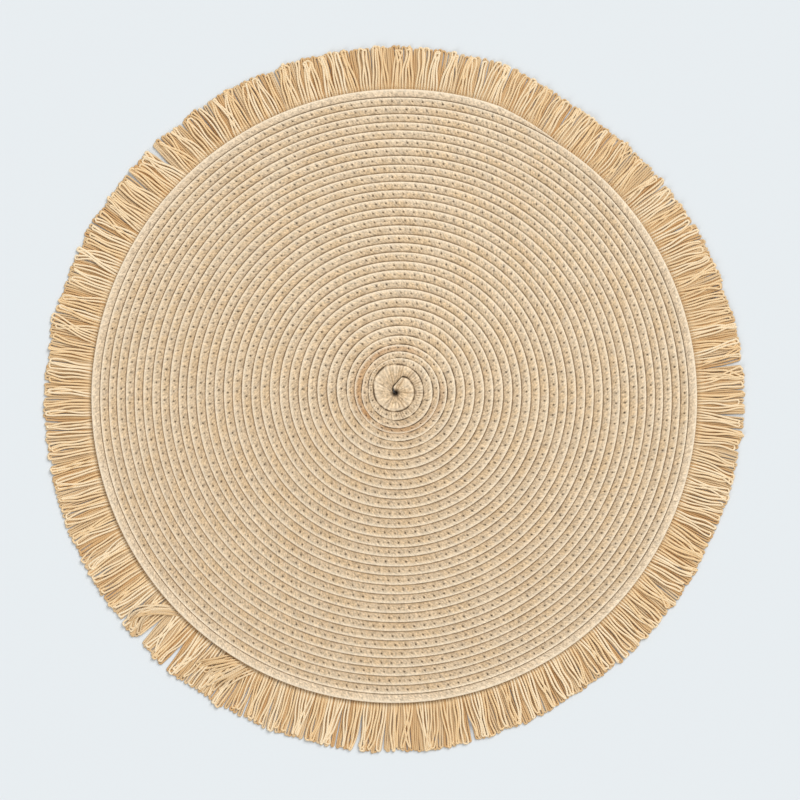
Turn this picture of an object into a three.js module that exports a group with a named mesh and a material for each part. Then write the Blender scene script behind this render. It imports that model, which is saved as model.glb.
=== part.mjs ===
// Round placemat: one braided cord coiled flat and sewn row to row, with a looped yarn fringe whose heading
// is sewn under the coil's last row. Millimetres, +Z up. The mat lies on the plane z = 0, and the origin is
// the centre of the coil on its underside. Angles run anticlockwise from +X, seen from above.
import * as THREE from "three";

// Coil: the cord winds outwards clockwise, and its cut end tapers away against the last row.
const rowCount = 34;
const coreRows = 6;
const coreReach = 30;
const coreSpread = 0.66; // the first rows are the widest, as the cord is bent hardest there
const rowPitch = 4.77;
const cordEndDeg = 57;
const cordEndTaperDeg = 9;
const cordEndWidth = 0.3; // share of a row that is left at the cut end
const cordEndSlantDeg = 1.5;
const outlineBulge = 9.2; // rows lie looser towards the front of the mat
const outlineBulgeTurnDeg = 15;
const outlineBulgePower = 1.5;

// Section of a row: a low groove on its inner side and a ridge towards its outer side.
const coilTop = 3.4;
const grooveDepth = 0.9;
const ridgeShare = 0.7;
const rimLift = 0.5; // the last row rides up over the heading
const rimLiftTurnDeg = 16;
const stepsPerRow = 44;

// Fringe: a flat heading ring under the last row, and tufts that lie outwards from it like a comb.
const fringeThickness = 1.6;
const seatGap = 0.3;
const headingWidth = 4.2;
const headingSideGap = 0.5;
const tuftCount = 96;
const tuftSlit = 0.9;
const tuftSlitDepth = 0.66; // share of the fringe length
const tuftUnevenness = 0.9;
const tipRounding = 0.7;

// Fringe length around the mat, between which it changes evenly.
const fringeLengths = [
  { atDeg: 0, length: 26.2 },
  { atDeg: 62, length: 21.6 },
  { atDeg: 100, length: 23.9 },
  { atDeg: 165, length: 25.2 },
  { atDeg: 225, length: 27.4 },
  { atDeg: 275, length: 27.0 },
  { atDeg: 303, length: 23.6 },
  { atDeg: 340, length: 24.6 },
  { atDeg: 360, length: 26.2 },
];

// The widest partings between tufts.
const partings = [
  { atDeg: 3.6, width: 1.6, depth: 0.8 },
  { atDeg: 79.8, width: 2.2, depth: 0.35 },
  { atDeg: 135, width: 2.7, depth: 0.7 },
  { atDeg: 141.2, width: 2.2, depth: 0.5 },
  { atDeg: 179, width: 1.8, depth: 0.4 },
  { atDeg: 219.8, width: 2.6, depth: 0.75 },
  { atDeg: 224, width: 2.4, depth: 0.6 },
  { atDeg: 229.4, width: 2.6, depth: 0.55 },
  { atDeg: 263.8, width: 2.6, depth: 0.35 },
];

const materials = {
  braid: new THREE.MeshStandardMaterial({ color: 0xd6be9e, roughness: 0.75, metalness: 0 }),
  yarn: new THREE.MeshStandardMaterial({ color: 0xd6b68d, roughness: 0.9, metalness: 0 }),
};

const radians = THREE.MathUtils.degToRad;
const lerp = THREE.MathUtils.lerp;
const smoothstep = THREE.MathUtils.smoothstep;

// How far the outline swells beyond a plain spiral at an angle, from 0 to 1.
function bulgeShare(angle) {
  const swing = 0.5 - 0.5 * Math.sin(angle + radians(outlineBulgeTurnDeg));
  return swing ** outlineBulgePower;
}

// Radius of the groove line that has wound this many rows from the centre.
function grooveRadius(rows, angle) {
  if (rows < coreRows) return coreReach * (rows / coreRows) ** coreSpread;
  const outward = (rows - coreRows) / (rowCount - coreRows);
  return coreReach + rowPitch * (rows - coreRows) + outlineBulge * bulgeShare(angle) * outward;
}

function windingAngle(rows) {
  return radians(cordEndDeg) + (rowCount - rows) * 2 * Math.PI;
}

// The coil as a mesh: a spiral of groove points and a spiral of ridge points make the upper side, and the
// walls step in under the last row to leave a seat for the fringe's heading.
function coilGeometry() {
  const points = [];
  const faces = [];
  const lastStep = rowCount * stepsPerRow;
  const bandEnd = lastStep - stepsPerRow;

  const addPoint = (radius, angle, z) => points.push([radius * Math.cos(angle), radius * Math.sin(angle), z]) - 1;
  const addQuad = (a, b, c, d) => faces.push([a, b, c], [a, c, d]);
  const lift = (step) => {
    const lastRowStart = bandEnd - stepsPerRow;
    const turn = (stepsPerRow * rimLiftTurnDeg) / 360;
    return rimLift * smoothstep(step, lastRowStart - turn, lastRowStart + turn);
  };

  // Radius and angle of a groove point, with the last row narrowing to its slanted cut end.
  const groovePlace = (step) => {
    const rows = step / stepsPerRow;
    const angle = windingAngle(rows);
    const radius = grooveRadius(rows, angle);
    if (step <= bandEnd) return { radius, angle };
    const fromEnd = ((lastStep - step) * 360) / stepsPerRow;
    const width = lerp(cordEndWidth, 1, smoothstep(fromEnd, 0, cordEndTaperDeg));
    const inner = grooveRadius(rows - 1, angle);
    const slant = step === lastStep ? radians(cordEndSlantDeg) : 0;
    return { radius: lerp(inner, radius, width), angle: angle + slant };
  };

  const grooves = [];
  for (let step = 0; step <= lastStep; step++) {
    const { radius, angle } = groovePlace(step);
    grooves.push(addPoint(radius, angle, coilTop - grooveDepth + lift(step - stepsPerRow)));
  }
  const ridges = [];
  for (let step = 0; step <= bandEnd; step++) {
    const inner = groovePlace(step);
    const outer = groovePlace(step + stepsPerRow);
    const slant = step === bandEnd ? radians(cordEndSlantDeg) / 2 : 0;
    ridges.push(addPoint(lerp(inner.radius, outer.radius, ridgeShare), inner.angle + slant, coilTop + lift(step)));
  }
  for (let step = 0; step < bandEnd; step++) {
    const outer = step + stepsPerRow;
    addQuad(grooves[step], grooves[step + 1], ridges[step + 1], ridges[step]);
    addQuad(ridges[step], ridges[step + 1], grooves[outer + 1], grooves[outer]);
  }
  // The snail-shaped start inside the first row.
  for (let step = 1; step < stepsPerRow - 1; step++) faces.push([grooves[0], grooves[step + 1], grooves[step]]);
  faces.push([grooves[0], ridges[0], grooves[stepsPerRow - 1]]);
  faces.push([ridges[0], grooves[stepsPerRow], grooves[stepsPerRow - 1]]);

  // Walls under the outline: rim, ceiling of the heading's seat, seat wall, and the flat underside.
  const rim = [...grooves.slice(bandEnd), ridges[bandEnd]];
  const seatHeight = fringeThickness + seatGap;
  const loopUnder = (inset, z) =>
    rim.map((index) => {
      const [x, y] = points[index];
      return addPoint(Math.hypot(x, y) - inset, Math.atan2(y, x), z);
    });
  const loops = [rim, loopUnder(0, seatHeight), loopUnder(headingWidth, seatHeight), loopUnder(headingWidth, 0)];
  for (let ring = 0; ring + 1 < loops.length; ring++) {
    const upper = loops[ring];
    const lower = loops[ring + 1];
    upper.forEach((_, k) => {
      const next = (k + 1) % upper.length;
      addQuad(upper[k], upper[next], lower[next], lower[k]);
    });
  }
  const underside = loops.at(-1);
  const centre = addPoint(0, 0, 0);
  underside.forEach((_, k) => faces.push([centre, underside[k], underside[(k + 1) % underside.length]]));

  const geometry = new THREE.BufferGeometry();
  geometry.setAttribute("position", new THREE.Float32BufferAttribute(points.flat(), 3));
  geometry.setIndex(faces.flat());
  geometry.computeVertexNormals();
  geometry.userData.outline = rim.map((index) => new THREE.Vector2(points[index][0], points[index][1]));
  return geometry;
}

// Radius of the mat's edge at an angle in degrees, with the step at the cord's end eased out.
function edgeRadius(atDeg) {
  const pastEnd = THREE.MathUtils.euclideanModulo(atDeg - cordEndDeg, 360);
  const rows = rowCount - pastEnd / 360;
  const easing = smoothstep(pastEnd, 0, cordEndTaperDeg);
  return grooveRadius(lerp(rowCount - 1, rows, easing), radians(atDeg));
}

function fringeLength(atDeg) {
  const after = fringeLengths.findIndex((row) => row.atDeg > atDeg);
  const [low, high] = [fringeLengths[after - 1], fringeLengths[after]];
  return lerp(low.length, high.length, (atDeg - low.atDeg) / (high.atDeg - low.atDeg));
}

// An uneven but repeatable share from -1 to 1 for each tuft.
function unevenness(tuft, kind) {
  return Math.sin(tuft * 12.9898 + kind * 78.233) * Math.cos(tuft * 4.1414 + kind * 2.17);
}

function polar(radius, atDeg) {
  return new THREE.Vector2(radius * Math.cos(radians(atDeg)), radius * Math.sin(radians(atDeg)));
}

// The slit on the clockwise side of a tuft. A wide parting takes the place of the nearest plain slit.
function slitBefore(tuft) {
  const spacing = 360 / tuftCount;
  const atDeg = (tuft + 0.5 + 0.22 * unevenness(tuft, 1)) * spacing;
  const parting = partings.find((row) => Math.abs(row.atDeg - (tuft + 0.5) * spacing) < spacing / 2);
  if (parting) return parting;
  const depth = tuftSlitDepth * (1 + 0.3 * unevenness(tuft, 2));
  return { atDeg, width: tuftSlit * (1 + 0.4 * unevenness(tuft, 3)), depth };
}

function fringeGeometry(matOutline) {
  const comb = new THREE.Shape();
  const reach = (atDeg) => edgeRadius(atDeg) + fringeLength(atDeg);
  const outline = [];
  for (let tuft = 0; tuft < tuftCount; tuft++) {
    const slit = slitBefore(tuft);
    const next = slitBefore((tuft + 1) % tuftCount);
    const nextDeg = next.atDeg + (tuft + 1 === tuftCount ? 360 : 0);
    const halfSlit = (row) => THREE.MathUtils.radToDeg(row.width / 2 / reach(row.atDeg));
    const fromDeg = slit.atDeg + halfSlit(slit);
    const toDeg = nextDeg - halfSlit(next);
    const middleDeg = (fromDeg + toDeg) / 2;
    const tip = reach(THREE.MathUtils.euclideanModulo(middleDeg, 360)) + tuftUnevenness * unevenness(tuft, 4);
    outline.push(polar(reach(slit.atDeg) - slit.depth * fringeLength(slit.atDeg), slit.atDeg));
    outline.push(polar(tip - tipRounding, fromDeg));
    outline.push(polar(tip, middleDeg));
    outline.push(polar(tip - tipRounding, toDeg));
  }
  comb.setFromPoints(outline);
  const inset = headingWidth - headingSideGap;
  const seat = matOutline.map((point) => point.clone().setLength(point.length() - inset));
  comb.holes.push(new THREE.Path().setFromPoints(seat));
  return new THREE.ExtrudeGeometry(comb, { depth: fringeThickness, bevelEnabled: false });
}

const placemat = new THREE.Group();

const coil = new THREE.Mesh(coilGeometry(), materials.braid);
coil.name = "coil";
placemat.add(coil);

const fringe = new THREE.Mesh(fringeGeometry(coil.geometry.userData.outline), materials.yarn);
fringe.name = "fringe";
placemat.add(fringe);

export default placemat;
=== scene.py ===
import math

import bpy
import numpy as np
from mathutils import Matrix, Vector


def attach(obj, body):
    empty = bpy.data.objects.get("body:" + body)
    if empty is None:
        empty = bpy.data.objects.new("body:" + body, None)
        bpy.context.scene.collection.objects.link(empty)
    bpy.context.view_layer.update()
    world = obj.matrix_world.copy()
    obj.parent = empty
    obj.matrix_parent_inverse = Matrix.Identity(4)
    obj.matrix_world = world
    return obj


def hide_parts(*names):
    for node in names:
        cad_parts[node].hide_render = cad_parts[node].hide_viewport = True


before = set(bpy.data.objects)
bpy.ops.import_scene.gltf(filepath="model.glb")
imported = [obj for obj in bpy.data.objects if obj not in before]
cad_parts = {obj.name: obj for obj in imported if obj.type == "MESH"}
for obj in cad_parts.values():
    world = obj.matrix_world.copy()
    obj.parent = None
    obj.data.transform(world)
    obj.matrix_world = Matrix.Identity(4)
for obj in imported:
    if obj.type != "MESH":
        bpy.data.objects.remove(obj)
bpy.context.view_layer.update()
bpy.ops.object.select_all(action="DESELECT")
mm = 0.001
fullTurn = 2 * math.pi


def smoothStep(value, low, high):
    share = np.clip((value - low) / (high - low), 0, 1)
    return share * share * (3 - 2 * share)


def fromScreen(red, green, blue):
    parts = [part / 255 for part in (red, green, blue)]
    return tuple(p / 12.92 if p <= 0.04045 else ((p + 0.055) / 1.055) ** 2.4 for p in parts) + (1.0,)


# A value in a material's node tree. Sums and products of these add Math nodes.
class Wire:
    def __init__(self, finish, socket):
        self.finish = finish
        self.socket = socket

    def maths(self, operation, first, second):
        return self.finish.node("ShaderNodeMath", {"operation": operation}, {0: first, 1: second})

    def __add__(self, other):
        return self.maths("ADD", self, other)

    def __radd__(self, other):
        return self.maths("ADD", other, self)

    def __sub__(self, other):
        return self.maths("SUBTRACT", self, other)

    def __rsub__(self, other):
        return self.maths("SUBTRACT", other, self)

    def __mul__(self, other):
        return self.maths("MULTIPLY", self, other)

    def __rmul__(self, other):
        return self.maths("MULTIPLY", other, self)


class Finish:
    def __init__(self, name):
        self.material = bpy.data.materials.new(name)
        self.material.use_nodes = True
        self.tree = self.material.node_tree
        self.shader = self.tree.nodes["Principled BSDF"]

    def plug(self, value, socket):
        if isinstance(value, Wire):
            self.tree.links.new(value.socket, socket)
        else:
            socket.default_value = value

    def node(self, kind, settings=None, sockets=None, output=0):
        made = self.tree.nodes.new(kind)
        for setting, value in (settings or {}).items():
            setattr(made, setting, value)
        for socket, value in (sockets or {}).items():
            self.plug(value, made.inputs[socket])
        return Wire(self, made.outputs[output])

    def mixColour(self, share, first, second, blend="MIX"):
        settings = {"data_type": "RGBA", "blend_type": blend, "clamp_factor": True}
        return self.node("ShaderNodeMix", settings, {0: share, 6: first, 7: second}, output=2)

    def attribute(self, name):
        return self.node("ShaderNodeAttribute", {"attribute_name": name}, output="Fac")

    def wear(self, socketValues):
        for socket, value in socketValues.items():
            self.plug(value, self.shader.inputs[socket])


# A mesh of quads and end caps, with one UV map and plain values at its points.
def meshPiece(name, points, quads, caps, quadUv, values):
    mesh = bpy.data.meshes.new(name)
    corners = np.concatenate([quads.ravel(), caps.ravel()]).astype(np.int32)
    starts = np.arange(len(quads)) * 4
    if len(caps):
        capStarts = len(quads) * 4 + np.arange(len(caps)) * caps.shape[1]
        starts = np.concatenate([starts, capStarts])
    mesh.vertices.add(len(points))
    mesh.vertices.foreach_set("co", points.astype(np.float32).ravel())
    mesh.loops.add(len(corners))
    mesh.loops.foreach_set("vertex_index", corners)
    mesh.polygons.add(len(starts))
    mesh.polygons.foreach_set("loop_start", starts.astype(np.int32))
    mesh.update(calc_edges=True)
    layer = mesh.uv_layers.new(name="along")
    capUv = np.zeros((caps.size, 2))
    layer.data.foreach_set("uv", np.concatenate([quadUv.reshape(-1, 2), capUv]).astype(np.float32).ravel())
    for label, numbers in values.items():
        attribute = mesh.attributes.new(label, "FLOAT", "POINT")
        attribute.data.foreach_set("value", numbers.astype(np.float32).ravel())
    mesh.validate()
    mesh.shade_smooth()
    piece = bpy.data.objects.new(name, mesh)
    bpy.context.collection.objects.link(piece)
    print("made", name, "with", len(quads) * 2 + len(caps) * (caps.shape[1] - 2), "triangles")
    return piece


# The coil: one braided cord, wound outwards clockwise from the centre.
coilSizes = {
    "rows": 33.356,  # turns of the groove from the centre to the cord's cut end
    "cordEndDeg": 57,
    "cordEndTaperDeg": 13.5,
    "cordEndWidth": 0.08,
    "coreRows": 5.356,
    "coreReach": 30.3 * mm,
    "coreShift": (-1.75 * mm, -1.6 * mm),  # the cord's start lies off the middle
    "rowPitch": 4.759 * mm,
    "bulge": 9.2 * mm,  # rows lie looser towards the front
    "slack": 2.55 * mm,  # rows are widest on the inner half of the mat
    "bulgeTurnDeg": 15,
    "bulgePower": 1.5,
    "wobble": 0.1 * mm,
    "stitchStep": 5.53 * mm,
    "strandSlant": 0.95,
    "valley": 0.32 * mm,
    "unevenness": 0.05 * mm,
    "holeDepth": 1.1 * mm,
    "holeBand": 0.08,  # half the share of a row where strands run straight, so that holes stay round
    "pitDepth": 1.4 * mm,
    "pitRadius": (1.0 * mm, 2.3 * mm),
    "rimBottom": 1.85 * mm,  # the last row lies on the fringe's heading
    "rimHeight": 2.05 * mm,
    "rimTurn": 0.06,
    "rimFlattening": 0.4,
    "climb": 0.55,  # how far the row before the last one rises towards it
    "fullHeight": 3.32 * mm,
    "startRows": -0.8,
    "grooveKnots": 2.4 * mm,  # the grooves close up here and there, at about this distance
    "grooveClosing": 0.3,
    "coreClosing": 0.75,
    "frontClosing": 0.15,
    "closedRise": 0.45 * mm,
    "dashShade": 0.6,  # painted shade in the open places of the grooves near the centre
    "gashShade": 0.9,  # painted shade where the first groove gapes
    "strandShade": 0.22,
    "fanShade": 1.1,
    "frontShade": 0.17,  # painted shade: rows are a little darker towards the front, but for their outer edges
    "pieces": ["coil_heart", "coil_inner", "coil_middle", "coil_rim"],
}
# Radius of the groove in the first turns, in millimetres.
coreGroove = [
    {"rows": 0.0, "radius": 0.2},
    {"rows": 0.10, "radius": 1.3},
    {"rows": 0.19, "radius": 2.9},
    {"rows": 0.28, "radius": 5.1},
    {"rows": 0.31, "radius": 7.6},
    {"rows": 0.325, "radius": 9.6},
    {"rows": 0.36, "radius": 10.4},
    {"rows": 0.50, "radius": 10.6},
    {"rows": 0.75, "radius": 10.2},
    {"rows": 0.90, "radius": 10.8},
    {"rows": 1.03, "radius": 12.0},
    {"rows": 1.12, "radius": 14.1},
    {"rows": 1.21, "radius": 15.7},
    {"rows": 1.40, "radius": 15.8},
    {"rows": 1.55, "radius": 15.0},
    {"rows": 1.80, "radius": 15.0},
    {"rows": 2.03, "radius": 14.9},
    {"rows": 2.14, "radius": 17.1},
    {"rows": 2.28, "radius": 18.9},
    {"rows": 2.39, "radius": 20.0},
    {"rows": 2.75, "radius": 19.9},
    {"rows": 3.05, "radius": 19.3},
    {"rows": 3.25, "radius": 21.7},
    {"rows": 3.50, "radius": 22.9},
    {"rows": 4.00, "radius": 23.8},
    {"rows": 4.26, "radius": 24.9},
    {"rows": 4.39, "radius": 25.4},
    {"rows": 4.51, "radius": 26.5},
    {"rows": 4.75, "radius": 27.9},
    {"rows": 5.05, "radius": 28.4},
    {"rows": 5.356, "radius": 30.3},
]
# Section of a row from its inner groove over the top to its outer groove, then back underneath. Heights are
# in millimetres, and relief is how much of the strands' shape shows there.
# The darkness of the grooves at each point of the section is painted shade.
rowSection = [
    {"across": 0.004, "height": 2.40, "relief": 0.1, "hollowShade": 1.0, "hole": 0},
    {"across": 0.085, "height": 2.95, "relief": 0.6, "hollowShade": 0.42, "hole": 0},
    {"across": 0.25, "height": 3.16, "relief": 0.9, "hollowShade": 0.12, "hole": 0},
    {"across": 0.43, "height": 3.20, "relief": 0.9, "hollowShade": 0.06, "hole": 0.4},
    {"across": 0.50, "height": 3.20, "relief": 0.9, "hollowShade": 0.06, "hole": 1},
    {"across": 0.57, "height": 3.20, "relief": 0.9, "hollowShade": 0.05, "hole": 0.4},
    {"across": 0.80, "height": 3.07, "relief": 0.8, "hollowShade": 0.0, "hole": 0},
    {"across": 0.91, "height": 2.95, "relief": 0.6, "hollowShade": 0.0, "hole": 0},
    {"across": 0.996, "height": 2.40, "relief": 0.1, "hollowShade": 1.0, "hole": 0},
    {"across": 0.80, "height": 0.10, "relief": 0.4, "hollowShade": 0.1, "hole": 0},
    {"across": 0.20, "height": 0.10, "relief": 0.4, "hollowShade": 0.1, "hole": 0},
]
# One stitch along the cord: four strands, the needle's hole in the first valley, and a painted highlight on
# the brim beside the hole.
stitchColumns = [
    {"at": 0.00, "valley": 0.5, "hole": 1.0, "brimHighlight": 0.0},
    {"at": 0.075, "valley": 0.2, "hole": 0.62, "brimHighlight": 1.0},
    {"at": 0.15, "valley": 0.0, "hole": 0.0, "brimHighlight": 0.5},
    {"at": 0.25, "valley": 0.7, "hole": 0.0, "brimHighlight": 0.0},
    {"at": 0.38, "valley": 0.0, "hole": 0.0, "brimHighlight": 0.0},
    {"at": 0.50, "valley": 1.0, "hole": 0.0, "brimHighlight": 0.0},
    {"at": 0.62, "valley": 0.0, "hole": 0.0, "brimHighlight": 0.0},
    {"at": 0.75, "valley": 0.7, "hole": 0.0, "brimHighlight": 0.0},
    {"at": 0.85, "valley": 0.0, "hole": 0.0, "brimHighlight": 0.5},
    {"at": 0.925, "valley": 0.2, "hole": 0.62, "brimHighlight": 1.0},
]


def windAngle(rows):
    return math.radians(coilSizes["cordEndDeg"]) + (coilSizes["rows"] - rows) * fullTurn


def bulgeShare(angle):
    swing = 0.5 - 0.5 * np.sin(angle + math.radians(coilSizes["bulgeTurnDeg"]))
    return swing ** coilSizes["bulgePower"]


def grooveRadius(rows, angle=None):
    angle = windAngle(rows) if angle is None else angle
    beyond = np.maximum(rows - coilSizes["coreRows"], 0)
    outward = beyond / (coilSizes["rows"] - coilSizes["coreRows"])
    wide = coilSizes["coreReach"] + coilSizes["rowPitch"] * beyond
    wide = wide + coilSizes["bulge"] * bulgeShare(angle) * outward
    wide = wide + coilSizes["slack"] * 4 * outward * (1 - outward)
    core = np.interp(rows, [row["rows"] for row in coreGroove], [row["radius"] * mm for row in coreGroove])
    sway = np.sin(fullTurn * 2.37 * rows + 1) + 0.7 * np.sin(fullTurn * 5.13 * rows + 2)
    sway = sway * coilSizes["wobble"] * smoothStep(rows, 3, 7) * (1 - smoothStep(rows, 31.3, 32.3))
    return np.where(rows < coilSizes["coreRows"], core, wide) + sway


# Radius of a row's two sides, where the last row narrows to its cut end.
def rowSides(rows):
    inner = grooveRadius(rows)
    outer = grooveRadius(rows + 1)
    fromEnd = (coilSizes["rows"] - 1 - rows) * 360
    narrow = coilSizes["cordEndWidth"]
    width = narrow + (1 - narrow) * np.clip(fromEnd / coilSizes["cordEndTaperDeg"], 0, 1)
    return inner, inner + (outer - inner) * width


# How far a row has climbed on to the fringe's heading.
def rimShare(rows):
    start = coilSizes["rows"] - 2
    return smoothStep(rows, start - coilSizes["rimTurn"], start + coilSizes["rimTurn"])


def sectionNormals():
    across = np.array([row["across"] * coilSizes["rowPitch"] for row in rowSection])
    height = np.array([row["height"] * mm for row in rowSection])
    runAcross = np.roll(across, -1) - np.roll(across, 1)
    runHeight = np.roll(height, -1) - np.roll(height, 1)
    length = np.hypot(runAcross, runHeight)
    return -runHeight / length, runAcross / length


def coilPieces():
    rng = np.random.default_rng(11)
    lastRows = coilSizes["rows"] - 1
    fine = np.linspace(coilSizes["startRows"], lastRows, 60000)
    inner, outer = rowSides(fine)
    steps = np.diff(fine) * fullTurn * (inner + outer)[:-1] / 2
    run = np.concatenate([[0], np.cumsum(steps)])

    stitches = int(run[-1] / coilSizes["stitchStep"])
    column = {}
    for key in stitchColumns[0]:
        column[key] = np.tile([row[key] for row in stitchColumns], stitches)[:, None]
    stitch = np.repeat(np.arange(stitches), len(stitchColumns))
    along = (stitch + column["at"][:, 0]) * 4  # counted in strands
    columnRows = np.interp(along / (stitches * 4) * run[-1], run, fine)[:, None]
    section = {key: np.array([row[key] for row in rowSection])[None, :] for key in rowSection[0]}
    across = section["across"]
    height = section["height"] * mm
    side, up = sectionNormals()

    inner, outer = rowSides(columnRows)
    slant = coilSizes["strandSlant"] * smoothStep(columnRows, 0.3, 1.6)
    offset = np.sign(across - 0.5) * np.maximum(np.abs(across - 0.5) - coilSizes["holeBand"], 0)
    lean = slant * offset * (outer - inner) / ((inner + outer) / 2)
    rows = np.clip(columnRows - lean / fullTurn, coilSizes["startRows"], lastRows)
    inner, outer = rowSides(rows)
    angle = windAngle(rows)
    radius = inner + across * (outer - inner)

    # the last row lies higher, and the row before it climbs towards it
    rim = rimShare(rows)
    climb = smoothStep(across, 0.45, 1.0) * (height > 2 * mm) * rimShare(rows + 1) * coilSizes["climb"]
    rimHeight = coilSizes["rimBottom"] + height / coilSizes["fullHeight"] * coilSizes["rimHeight"]
    z = height + (rimHeight - height) * np.maximum(rim, climb)

    groove = rows + (across > 0.5)
    knots = np.arange(0, run[-1] * 1.05, coilSizes["grooveKnots"])
    closed = smoothStep(np.interp(np.interp(groove, fine, run), knots, rng.random(len(knots))), 0.2, 0.7)
    core = 1 - smoothStep(groove, 4, 7)
    dashes = (1 - closed) * core * coilSizes["dashShade"]
    plainClosing = coilSizes["grooveClosing"]
    closed = closed * (plainClosing + (coilSizes["coreClosing"] - plainClosing) * core)
    closed = 1 - (1 - closed) * (1 - coilSizes["frontClosing"] * bulgeShare(angle))
    closed = closed * smoothStep(groove, 0.36, 0.42)
    z = z + closed * section["hollowShade"] * (height > 2 * mm) * coilSizes["closedRise"]

    # strands stand up between their valleys, and the needle's holes run along the middle of each row
    strandRise = rng.normal(0, coilSizes["unevenness"], stitches * 4 + 1)[np.round(along).astype(int)]
    push = (strandRise[:, None] - column["valley"] * coilSizes["valley"]) * section["relief"]
    push = push * (1 - coilSizes["rimFlattening"] * rim)
    depth = rng.uniform(0.7, 1.25, stitches)[stitch][:, None] * (1 - rim) * smoothStep(rows, 0.2, 0.8)
    hole = column["hole"] * section["hole"] * depth
    push = push - hole * coilSizes["holeDepth"]
    radius = radius + side[None, :] * push
    pit = (1 - smoothStep(radius, *coilSizes["pitRadius"])) * (height > 2 * mm)
    z = np.maximum(z + up[None, :] * push - pit * coilSizes["pitDepth"], 0)
    # painted shade: the first groove's gap, open places in the grooves near the centre and the centre pit are
    # coloured dark like the needle's holes
    opened = (1 - smoothStep(groove, 0.36, 0.42)) * coilSizes["gashShade"]
    gash = section["hollowShade"] ** 2 * np.maximum(opened, dashes) * (height > 2 * mm)
    hole = np.clip(np.maximum(hole, gash) + pit, 0, 1)

    # strands fan out from the cord's start, and the painted shade in their valleys is darkest there
    fan = 1 - smoothStep(rows, 0.8, 1.7)
    strandShadeAmount = rng.uniform(0, 1, stitches * 4 + 1)[np.round(along).astype(int)][:, None]
    # painted shade in the grooves and in the strands' valleys
    hollowShade = section["hollowShade"] * (1 - 0.3 * rim) * (1 - closed)
    valleyShade = coilSizes["strandShade"] + coilSizes["fanShade"] * fan * strandShadeAmount
    hollowShade = hollowShade + column["valley"] * section["relief"] * valleyShade
    # painted shade: rows towards the front are darker, but for their outer edges
    front = bulgeShare(angle) * (height > 2 * mm) * (1 - smoothStep(across, 0.55, 0.85)) * (1 - fan)
    hollowShade = np.clip(hollowShade + coilSizes["frontShade"] * front * (1 - rim), 0, 1)
    stain = coilStain(radius, angle)
    # painted highlight along the rows' raised outer edges and beside the needle's holes
    ridge = smoothStep(across, 0.7, 0.89) * (across < 0.95) * (height > 2 * mm)
    ridge = ridge * (1 - 0.5 * fan)
    ridge = np.clip(ridge + column["brimHighlight"] * np.exp(-(((across - 0.62) / 0.1) ** 2)) * 0.6, 0, 1)

    fade = 1 - smoothStep(rows + across, 1.2, 5)
    x = radius * np.cos(angle) + coilSizes["coreShift"][0] * fade
    y = radius * np.sin(angle) + coilSizes["coreShift"][1] * fade
    points = np.stack([x, y, z], axis=-1)
    pieces = []
    cuts = np.linspace(0, stitches, len(coilSizes["pieces"]) + 1).astype(int) * len(stitchColumns)
    for name, start, stop in zip(coilSizes["pieces"], cuts[:-1], cuts[1:]):
        part = slice(start, stop + 1)
        values = {"hollowShade": hollowShade, "hole": hole, "ridge": ridge, "rim": rim, "stain": stain}
        values = {label: numbers[part] for label, numbers in values.items()}
        piece = tubePiece(name, points[part], along[part], values)
        ends = columnRows[start, 0], columnRows[min(stop, len(columnRows) - 1), 0]
        inside = (fine >= ends[0]) & (fine <= ends[1])
        spread = np.sum(rowWidths(fine[inside])[:-1] * np.diff(fine[inside]))
        pieces.append((piece, ends, spread))
    return pieces


# Area of a row for each turn, seen from above.
def rowWidths(rows):
    inner, outer = rowSides(rows)
    return (outer**2 - inner**2) * math.pi


# Patches near the centre have turned tan. Angles in degrees, radii and spreads in millimetres.
stainPatches = [
    {"atDeg": 95, "radius": 23.2, "spanDeg": 35, "spread": 1.8, "strength": 0.6},
    {"atDeg": 130, "radius": 22.0, "spanDeg": 20, "spread": 2.4, "strength": 0.45},
    {"atDeg": 180, "radius": 21.3, "spanDeg": 38, "spread": 3.4, "strength": 0.8},
    {"atDeg": 218, "radius": 20.5, "spanDeg": 9, "spread": 2.0, "strength": 1.0},
    {"atDeg": 265, "radius": 21.0, "spanDeg": 28, "spread": 2.6, "strength": 0.7},
    {"atDeg": 310, "radius": 22.0, "spanDeg": 30, "spread": 2.4, "strength": 0.45},
    {"atDeg": 350, "radius": 24.0, "spanDeg": 20, "spread": 2.0, "strength": 0.4},
]


def coilStain(radius, angle):
    total = np.zeros_like(radius)
    for patch in stainPatches:
        offset = np.degrees(angle) - patch["atDeg"]
        offset = (offset + 180) % 360 - 180
        away = (offset / patch["spanDeg"]) ** 4 + ((radius / mm - patch["radius"]) / patch["spread"]) ** 2
        total = total + patch["strength"] * np.exp(-away)
    return np.clip(total, 0, 1)


# A closed tube through rings of points that all have the same number of points.
def tubePiece(name, rings, along, values):
    count, around = rings.shape[:2]
    index = np.arange(count * around).reshape(count, around)
    nextAround = np.roll(index, -1, axis=1)
    quads = np.stack([index[:-1], index[1:], nextAround[1:], nextAround[:-1]], axis=-1).reshape(-1, 4)
    caps = np.stack([index[0], index[-1][::-1]])
    low = np.arange(around) / around
    high = low + 1 / around
    a, b = along[:-1, None], along[1:, None]
    uv = [np.broadcast_arrays(a, low), np.broadcast_arrays(b, low)]
    uv += [np.broadcast_arrays(b, high), np.broadcast_arrays(a, high)]
    quadUv = np.stack([np.stack(pair, axis=-1) for pair in uv], axis=2).reshape(-1, 2)
    flatValues = {label: numbers.reshape(-1) for label, numbers in values.items()}
    return meshPiece(name, rings.reshape(-1, 3), quads, caps, quadUv, flatValues)


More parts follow.
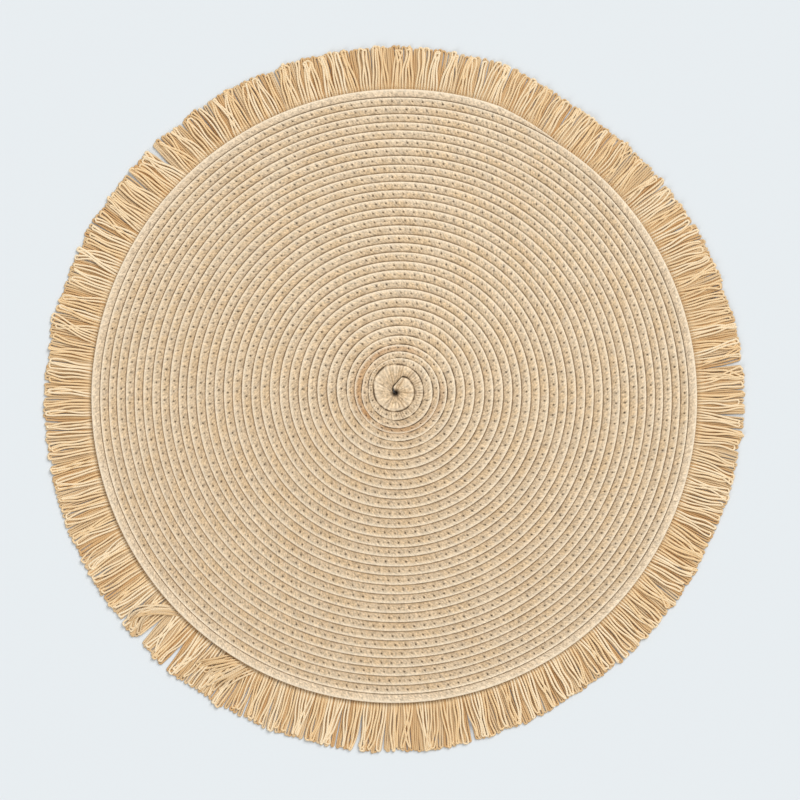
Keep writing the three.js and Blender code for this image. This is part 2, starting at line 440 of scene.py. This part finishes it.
braidLook = {
    "pale": fromScreen(224, 200, 166),
    "warm": fromScreen(222, 194, 155),
    "grey": fromScreen(210, 191, 164),
    "tan": fromScreen(192, 144, 93),
    # the groove colour is painted shade for the grooves, the strands' valleys and the front rows
    "groove": fromScreen(132, 99, 64),
    # the hole colour is painted shade in the holes, open gaps and the centre pit
    "hole": fromScreen(50, 34, 16),
    # colour of the painted highlight on the rows' outer edges
    "ridge": fromScreen(255, 240, 214),
    "rim": fromScreen(226, 206, 178),
    "rimShare": 0.5,
    "stainShare": 0.9,
    "ridgeShare": 0.75,
    "grooveShadeShare": 0.7,
    "roughness": 0.55,
    "filaments": 3.0,  # in each strand
    "grainSize": 1.1 * mm,
    "bumpDepth": 0.2 * mm,
}


def braidMaterial():
    finish = Finish("braid")
    uv = finish.node("ShaderNodeUVMap", {"uv_map": "along"})
    along = finish.node("ShaderNodeSeparateXYZ", None, {0: uv})
    around = Wire(finish, along.socket.node.outputs[1])
    place = finish.node("ShaderNodeTexCoord", output="Object")
    lineNoise = {"noise_dimensions": "1D"}
    flatNoise = {"noise_dimensions": "2D"}
    drift = finish.node("ShaderNodeTexNoise", lineNoise, {"W": along * 0.011, "Detail": 2.0})
    lighter = finish.node("ShaderNodeTexNoise", lineNoise, {"W": along * 0.09 + 40, "Detail": 1.0})
    strandNumber = finish.node("ShaderNodeMath", {"operation": "FLOOR"}, {0: along})
    strandTone = finish.node("ShaderNodeTexWhiteNoise", lineNoise, {"W": strandNumber})
    grainScale = 1 / braidLook["grainSize"]
    grain = finish.node("ShaderNodeTexNoise", None, {"Vector": place, "Scale": grainScale, "Detail": 2.0})

    warmth = finish.node("ShaderNodeMapRange", None, {0: drift, 1: 0.42, 2: 0.62})
    greyness = finish.node("ShaderNodeMapRange", None, {0: lighter, 1: 0.5, 2: 0.75})
    colour = finish.mixColour(warmth, braidLook["pale"], braidLook["warm"])
    colour = finish.mixColour(greyness * 0.5, colour, braidLook["grey"])
    colour = finish.mixColour(finish.attribute("rim") * braidLook["rimShare"], colour, braidLook["rim"])
    colour = finish.mixColour(finish.attribute("stain") * braidLook["stainShare"], colour, braidLook["tan"])
    streakPlace = finish.node("ShaderNodeCombineXYZ", None, {0: along * 1.3, 1: around * 7.0})
    streakSockets = {"Vector": streakPlace, "Scale": 1.0, "Detail": 3.0}
    streak = finish.node("ShaderNodeTexNoise", flatNoise, streakSockets)
    shade = 0.1 * strandTone + 1.15 * grain + 1.25 * streak - 0.29
    grey = finish.node("ShaderNodeCombineColor", None, {0: shade, 1: shade, 2: shade})
    colour = finish.mixColour(1.0, colour, grey, "MULTIPLY")
    # painted highlight on the rows' outer edges and beside the holes
    colour = finish.mixColour(finish.attribute("ridge") * braidLook["ridgeShare"], colour, braidLook["ridge"])
    # painted shade in the grooves and valleys
    hollowShade = finish.attribute("hollowShade")
    colour = finish.mixColour(hollowShade * braidLook["grooveShadeShare"], colour, braidLook["groove"])
    # painted shade in the holes, gaps and centre pit
    colour = finish.mixColour(finish.attribute("hole"), colour, braidLook["hole"])

    turns = along * (braidLook["filaments"] * fullTurn)
    threads = finish.node("ShaderNodeMath", {"operation": "SINE"}, {0: turns})
    spot = finish.node("ShaderNodeCombineXYZ", None, {0: along * 4.0, 1: around * 12.0})
    fibres = finish.node("ShaderNodeTexNoise", flatNoise, {"Vector": spot, "Scale": 1.0})
    relief = threads * 0.2 + fibres + grain + streak
    bumpSockets = {"Strength": 0.6, "Distance": braidLook["bumpDepth"], "Height": relief}
    bump = finish.node("ShaderNodeBump", None, bumpSockets)
    roughness = braidLook["roughness"] + 0.25 * hollowShade
    finish.wear({"Base Color": colour, "Roughness": roughness, "Normal": bump, "Specular IOR Level": 0.35})
    return finish.material


# The fringe: loops of twisted yarn, their ends under the coil's last row. A close layer lies on the table
# and a looser one on top of it.
fringeSizes = {
    "sides": 6,
    "legSteps": 11,
    "bendSteps": 6,
    "tuck": 3.0 * mm,
    "sway": 0.05,
    "curl": 0.04,
    "rootCentre": 1.0 * mm,
    "rootShade": 0.45,
    "strayShade": 0.55,
    "lengthUnevenness": 0.018,
}
fringeLayers = {
    "fringe_lower": {
        "loops": 520,
        "yarnRadius": 0.58 * mm,
        "rootGap": 0.52 * mm,
        "eye": (0.58 * mm, 0.8 * mm),  # half the width of a loop's end
        "lengths": (0.95, 1.0),
        "jitter": 0.012,
        "wave": 0.25 * mm,
        "centre": (0.60 * mm, 0.75 * mm),
        "shadow": 0.36,
        "tones": (0.3, 1.0),
        "strays": False,
        "seed": 5,
    },
    "fringe_upper": {
        "loops": 320,
        "yarnRadius": 0.56 * mm,
        "rootGap": 0.8 * mm,
        "eye": (0.5 * mm, 1.2 * mm),
        "lengths": (0.88, 1.02),
        "jitter": 0.075,
        "wave": 0.8 * mm,
        "centre": (1.6 * mm, 2.0 * mm),
        "shadow": 0.0,
        "tones": (0.0, 0.65),
        "strays": True,
        "seed": 8,
    },
}
# Length of the fringe around the mat in millimetres, between which it changes evenly.
fringeLengths = [
    {"atDeg": 0, "length": 26.2},
    {"atDeg": 62, "length": 21.6},
    {"atDeg": 100, "length": 23.9},
    {"atDeg": 165, "length": 25.2},
    {"atDeg": 225, "length": 27.4},
    {"atDeg": 275, "length": 27.0},
    {"atDeg": 303, "length": 23.6},
    {"atDeg": 340, "length": 24.6},
    {"atDeg": 360, "length": 26.2},
]
# Where the loops part, and how wide the parting is at the tips in millimetres.
fringePartings = [
    {"atDeg": 3.6, "width": 1.6},
    {"atDeg": 79.8, "width": 2.2},
    {"atDeg": 135, "width": 2.7},
    {"atDeg": 141.2, "width": 2.2},
    {"atDeg": 179, "width": 1.8},
    {"atDeg": 219.8, "width": 2.6},
    {"atDeg": 224, "width": 2.4},
    {"atDeg": 229.4, "width": 2.6},
    {"atDeg": 263.8, "width": 2.6},
]
# Loops that lie askew on the others. A negative lean turns the tips clockwise. Lengths and lifts are in
# millimetres.
strayTufts = [
    {"atDeg": 225.2, "spanDeg": 1.7, "loops": 5, "length": 23.5, "lift": 1.2,
     "lean": -1.62, "curl": 1.08, "gather": 0.5},
    {"atDeg": 239.2, "spanDeg": 2.2, "loops": 4, "length": 15.0, "lift": 1.2,
     "lean": -1.25, "curl": 0.10, "gather": 0.3},
    {"atDeg": 241.3, "spanDeg": 3.6, "loops": 6, "length": 21.5, "lift": 0.8,
     "lean": -0.85, "curl": 0.20, "gather": 0.1},
]


def edgeRadius(angle):
    pastEnd = np.mod(np.degrees(angle) - coilSizes["cordEndDeg"], 360)
    rows = coilSizes["rows"] - pastEnd / 360
    easing = np.clip(pastEnd / coilSizes["cordEndTaperDeg"], 0, 1)
    lastRows = coilSizes["rows"] - 1
    return grooveRadius(lastRows + (rows - lastRows) * easing, angle)


# A smooth uneven value around the mat, from a few waves with set phases.
def aroundNoise(angle, seed, waves):
    phases = np.random.default_rng(seed).uniform(0, fullTurn, len(waves))
    return sum(np.sin(wave * angle + phase) for wave, phase in zip(waves, phases)) / math.sqrt(len(waves))


def fringePiece(name):
    layer = fringeLayers[name]
    rng = np.random.default_rng(layer["seed"])
    count = layer["loops"]
    angle = fullTurn * (np.arange(count) + rng.uniform(-0.15, 0.15, count)) / count
    tufts = strayTufts if layer["strays"] else []
    for tuft in tufts:
        askew = tuft["atDeg"] + tuft["spanDeg"] * np.linspace(-0.5, 0.5, tuft["loops"])
        angle = np.concatenate([angle, np.radians(askew)])
    count = len(angle)
    degrees = np.degrees(angle) % 360
    lengthAngles = [row["atDeg"] for row in fringeLengths]
    length = np.interp(degrees, lengthAngles, [row["length"] * mm for row in fringeLengths])
    length = length * (1 + fringeSizes["lengthUnevenness"] * aroundNoise(angle, 1, (23, 41, 57)))
    length = length * rng.uniform(*layer["lengths"], count)
    lean = fringeSizes["sway"] * aroundNoise(angle, 2, (3, 7, 12, 19))
    lean = lean + rng.normal(0, layer["jitter"], count)
    curl = fringeSizes["curl"] * aroundNoise(angle, 3, (9, 16, 27))
    curl = curl + rng.normal(0, layer["jitter"], count)
    lift = np.zeros(count)
    push = np.zeros(count)
    for parting in fringePartings:
        offset = np.radians((degrees - parting["atDeg"] + 180) % 360 - 180) * 0.19
        push = push + np.sign(offset) * parting["width"] * 0.6 * mm * np.exp(-((offset / (5 * mm)) ** 2))
    start = layer["loops"]
    for tuft in tufts:
        part = slice(start, start + tuft["loops"])
        gather = np.radians(tuft["spanDeg"]) * np.linspace(-0.5, 0.5, tuft["loops"]) * 170 / tuft["length"]
        lean[part] = tuft["lean"] - tuft["gather"] * gather + rng.normal(0, 0.05, tuft["loops"])
        curl[part] = tuft["curl"] + rng.normal(0, 0.07, tuft["loops"])
        lift[part] = tuft["lift"] * mm
        length[part] = tuft["length"] * mm * rng.uniform(0.88, 1.06, tuft["loops"])
        start = part.stop

    legs, bend = fringeSizes["legSteps"], fringeSizes["bendSteps"]
    eye = rng.uniform(*layer["eye"], count)[:, None]
    legShare = np.linspace(0, 1, legs)
    turn = np.linspace(0, math.pi, bend + 2)[1:-1]
    share = np.concatenate([legShare, np.ones(bend), legShare[::-1]])[None, :]
    sideSign = np.concatenate([-np.ones(legs), -np.cos(turn), np.ones(legs)])[None, :]
    beyond = np.concatenate([np.zeros(legs), np.sin(turn), np.zeros(legs)])[None, :]

    tuck = fringeSizes["tuck"]
    length = length[:, None]
    gap = layer["rootGap"] + (eye - layer["rootGap"]) * smoothStep(share, 0.35, 1.0)
    out = -tuck + share * (length + tuck - eye)
    reach = np.clip(out / length, 0, 1)
    slope = lean[:, None] + 2 * curl[:, None] * reach
    straight = np.sqrt(1 + slope**2)
    phase = rng.uniform(0, fullTurn, count)[:, None]
    middle = length * (lean[:, None] * reach + curl[:, None] * reach**2) + push[:, None] * reach**1.5
    middle = middle + layer["wave"] * np.sin(reach * rng.uniform(4, 9, count)[:, None] + phase) * reach
    aside = sideSign * gap + layer["wave"] * 0.5 * np.sin(share * 7 + sideSign * 2 + phase) * reach
    ahead = beyond * eye * 1.1
    across = middle + (aside + ahead * slope) / straight
    out = out + (ahead - aside * slope) / straight

    centre = rng.uniform(*layer["centre"], count)[:, None]
    z = fringeSizes["rootCentre"] + (centre - fringeSizes["rootCentre"]) * smoothStep(reach, 0.0, 0.25)
    z = z - (centre - layer["yarnRadius"]) * 0.45 * smoothStep(reach, 0.55, 1.05)
    z = z + lift[:, None] * np.sin(np.clip(reach, 0, 1) * math.pi)
    z = z + layer["wave"] * 0.4 * np.sin(reach * 6 + phase * 2 + sideSign) * reach
    z = np.maximum(z, layer["yarnRadius"] * 1.03)

    edge = edgeRadius(angle)[:, None]
    outward = np.stack([np.cos(angle), np.sin(angle)], axis=-1)[:, None, :]
    sideways = np.stack([-np.sin(angle), np.cos(angle)], axis=-1)[:, None, :]
    flat = outward * (edge + out)[:, :, None] + sideways * across[:, :, None]
    path = np.concatenate([flat, z[:, :, None]], axis=-1)
    strayShade = np.zeros((count, 1))
    strays = count - layer["loops"]
    strayShade[layer["loops"] :, 0] = rng.uniform(0, fringeSizes["strayShade"], strays)
    rootShade = fringeSizes["rootShade"] * (1 - smoothStep(reach, -0.05, 0.12))
    shadow = layer["shadow"] + strayShade + rootShade
    tone = np.repeat(rng.uniform(*layer["tones"], count)[:, None], path.shape[1], axis=1)
    return yarnTubes(name, path, shadow, tone, layer["yarnRadius"], rng)


# Round yarn along many paths at once.
def yarnTubes(name, path, shadow, tone, yarnRadius, rng):
    count, steps = path.shape[:2]
    sides = fringeSizes["sides"]
    run = np.gradient(path, axis=1)
    run = run / np.linalg.norm(run, axis=-1, keepdims=True)
    upright = np.array([0, 0, 1.0])
    side = np.cross(upright, run)
    side = side / np.linalg.norm(side, axis=-1, keepdims=True)
    up = np.cross(run, side)
    turn = np.arange(sides) / sides * fullTurn
    thickness = yarnRadius * rng.uniform(0.88, 1.1, (count, 1)) * (1 + rng.normal(0, 0.05, (count, steps)))
    ring = side[:, :, None, :] * np.cos(turn)[:, None] + up[:, :, None, :] * np.sin(turn)[:, None]
    rings = path[:, :, None, :] + ring * thickness[:, :, None, None]
    rings[..., 2] = np.maximum(rings[..., 2], 0.02 * mm)

    index = np.arange(count * steps * sides).reshape(count, steps, sides)
    nextSide = np.roll(index, -1, axis=2)
    quads = [index[:, :-1], nextSide[:, :-1], nextSide[:, 1:], index[:, 1:]]
    quads = np.stack(quads, axis=-1).reshape(-1, 4)
    caps = np.concatenate([index[:, 0], index[:, -1][:, ::-1]])
    stretch = np.linalg.norm(np.diff(path, axis=1), axis=-1)
    along = np.concatenate([np.zeros((count, 1)), np.cumsum(stretch, axis=1)], axis=1) / mm
    along = along + np.arange(count)[:, None] * 97.0
    low = np.arange(sides) / sides
    high = low + 1 / sides
    a, b = along[:, :-1, None], along[:, 1:, None]
    uv = [np.broadcast_arrays(a, low), np.broadcast_arrays(a, high)]
    uv += [np.broadcast_arrays(b, high), np.broadcast_arrays(b, low)]
    quadUv = np.stack([np.stack(pair, axis=-1) for pair in uv], axis=3).reshape(-1, 2)
    spread = np.ones(sides)
    values = {"shadow": shadow[:, :, None] * spread, "tone": tone[:, :, None] * spread}
    return meshPiece(name, rings.reshape(-1, 3), quads, caps, quadUv, values)


yarnLook = {
    "cream": fromScreen(247, 226, 191),
    "gold": fromScreen(238, 206, 158),
    "orange": fromScreen(222, 177, 121),
    "shadow": fromScreen(130, 92, 50),
    "roughness": 0.78,
    "twistLength": 2.6,  # millimetres for one turn of the plies
    "plies": 2.0,
    "bumpDepth": 0.16 * mm,
}


def yarnMaterial():
    finish = Finish("yarn")
    uv = finish.node("ShaderNodeUVMap", {"uv_map": "along"})
    along = finish.node("ShaderNodeSeparateXYZ", None, {0: uv})
    around = Wire(finish, along.socket.node.outputs[1])
    tone = finish.attribute("tone")
    shadow = finish.attribute("shadow")
    lineNoise = {"noise_dimensions": "1D"}
    streak = finish.node("ShaderNodeTexNoise", lineNoise, {"W": along * 0.35, "Detail": 3.0})
    mixed = tone * 0.75 + streak * 0.5 - 0.12
    warm = finish.node("ShaderNodeMapRange", None, {0: mixed, 1: 0.15, 2: 0.6})
    deep = finish.node("ShaderNodeMapRange", None, {0: mixed, 1: 0.55, 2: 0.95})
    colour = finish.mixColour(warm, yarnLook["cream"], yarnLook["gold"])
    colour = finish.mixColour(deep, colour, yarnLook["orange"])
    turns = (along * (1 / yarnLook["twistLength"]) + around) * (fullTurn * yarnLook["plies"])
    twist = finish.node("ShaderNodeMath", {"operation": "SINE"}, {0: turns})
    groove = finish.node("ShaderNodeMapRange", None, {0: twist, 1: -0.3, 2: -1.0})
    colour = finish.mixColour(groove * 0.25, colour, yarnLook["shadow"])
    colour = finish.mixColour(shadow * 0.7, colour, yarnLook["shadow"])
    spot = finish.node("ShaderNodeCombineXYZ", None, {0: along * 5.0, 1: around * 8.0})
    fibreSockets = {"Vector": spot, "Scale": 1.0, "Detail": 2.0}
    fibres = finish.node("ShaderNodeTexNoise", {"noise_dimensions": "2D"}, fibreSockets)
    relief = twist * 0.5 + fibres
    bumpSockets = {"Strength": 0.6, "Distance": yarnLook["bumpDepth"], "Height": relief}
    bump = finish.node("ShaderNodeBump", None, bumpSockets)
    finish.wear({"Base Color": colour, "Normal": bump})
    finish.wear({"Roughness": yarnLook["roughness"], "Specular IOR Level": 0.25})
    return finish.material


def floorMaterial():
    finish = Finish("paleFloor")
    finish.wear({"Base Color": fromScreen(215, 220, 223), "Roughness": 0.9, "Specular IOR Level": 0.1})
    return finish.material


view = {
    "frameWidth": 434.1 * mm,  # what the picture's width covers at the mat
    "aim": (0.76 * mm, -5.43 * mm, 2 * mm),
    "lens": 90,
    "sensor": 36,
}


def placeCamera():
    distance = view["frameWidth"] * view["lens"] / view["sensor"]
    x, y, z = view["aim"]
    bpy.ops.object.camera_add(location=(x, y, z + distance), rotation=(0, 0, 0))
    camera = bpy.context.object
    camera.data.lens = view["lens"]
    camera.data.sensor_width = view["sensor"]
    camera.data.clip_end = 20
    bpy.context.scene.camera = camera


lights = {
    "sky": 0.5,
    "sunSpreadDeg": 35,
    "suns": [
        {"strength": 2.45, "from": (0.57, 0.82, 0.95)},
        {"strength": 0.92, "from": (-0.6, -0.8, 0.6)},
    ],
}


def placeLights():
    world = bpy.data.worlds.new("studio")
    bpy.context.scene.world = world
    world.use_nodes = True
    backdrop = world.node_tree.nodes["Background"]
    backdrop.inputs["Color"].default_value = (1, 1, 1, 1)
    backdrop.inputs["Strength"].default_value = lights["sky"]
    for row in lights["suns"]:
        bpy.ops.object.light_add(type="SUN", location=row["from"])
        sun = bpy.context.object
        sun.data.energy = row["strength"]
        sun.data.angle = math.radians(lights["sunSpreadDeg"])
        sun.rotation_euler = (-Vector(row["from"])).to_track_quat("-Z", "Y").to_euler()


def placeFloor():
    bpy.ops.mesh.primitive_plane_add(size=6, location=(0, 0, 0))
    floor = bpy.context.object
    floor.name = "floor"
    floor.data.materials.append(floorMaterial())


yarn = yarnMaterial()
fringe = [fringePiece(name) for name in fringeLayers]
for piece in fringe:
    piece.data.materials.append(yarn)
    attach(piece, "root")
    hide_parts("fringe")

braid = braidMaterial()
for piece, ends, spread in coilPieces():
    piece.data.materials.append(braid)
    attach(piece, "root")
    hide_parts("coil")
    band = (ends[1] - ends[0]) * coilSizes["rowPitch"]
    if ends[0] < 0:
        across = 2 * float(rowSides(np.array(ends[1]))[1])
    print("sheet", piece.name, "rows", round(float(ends[0]), 2), "to", round(float(ends[1]), 2))

placeFloor()
placeLights()
placeCamera()
bpy.context.scene.view_settings.view_transform = "Standard"
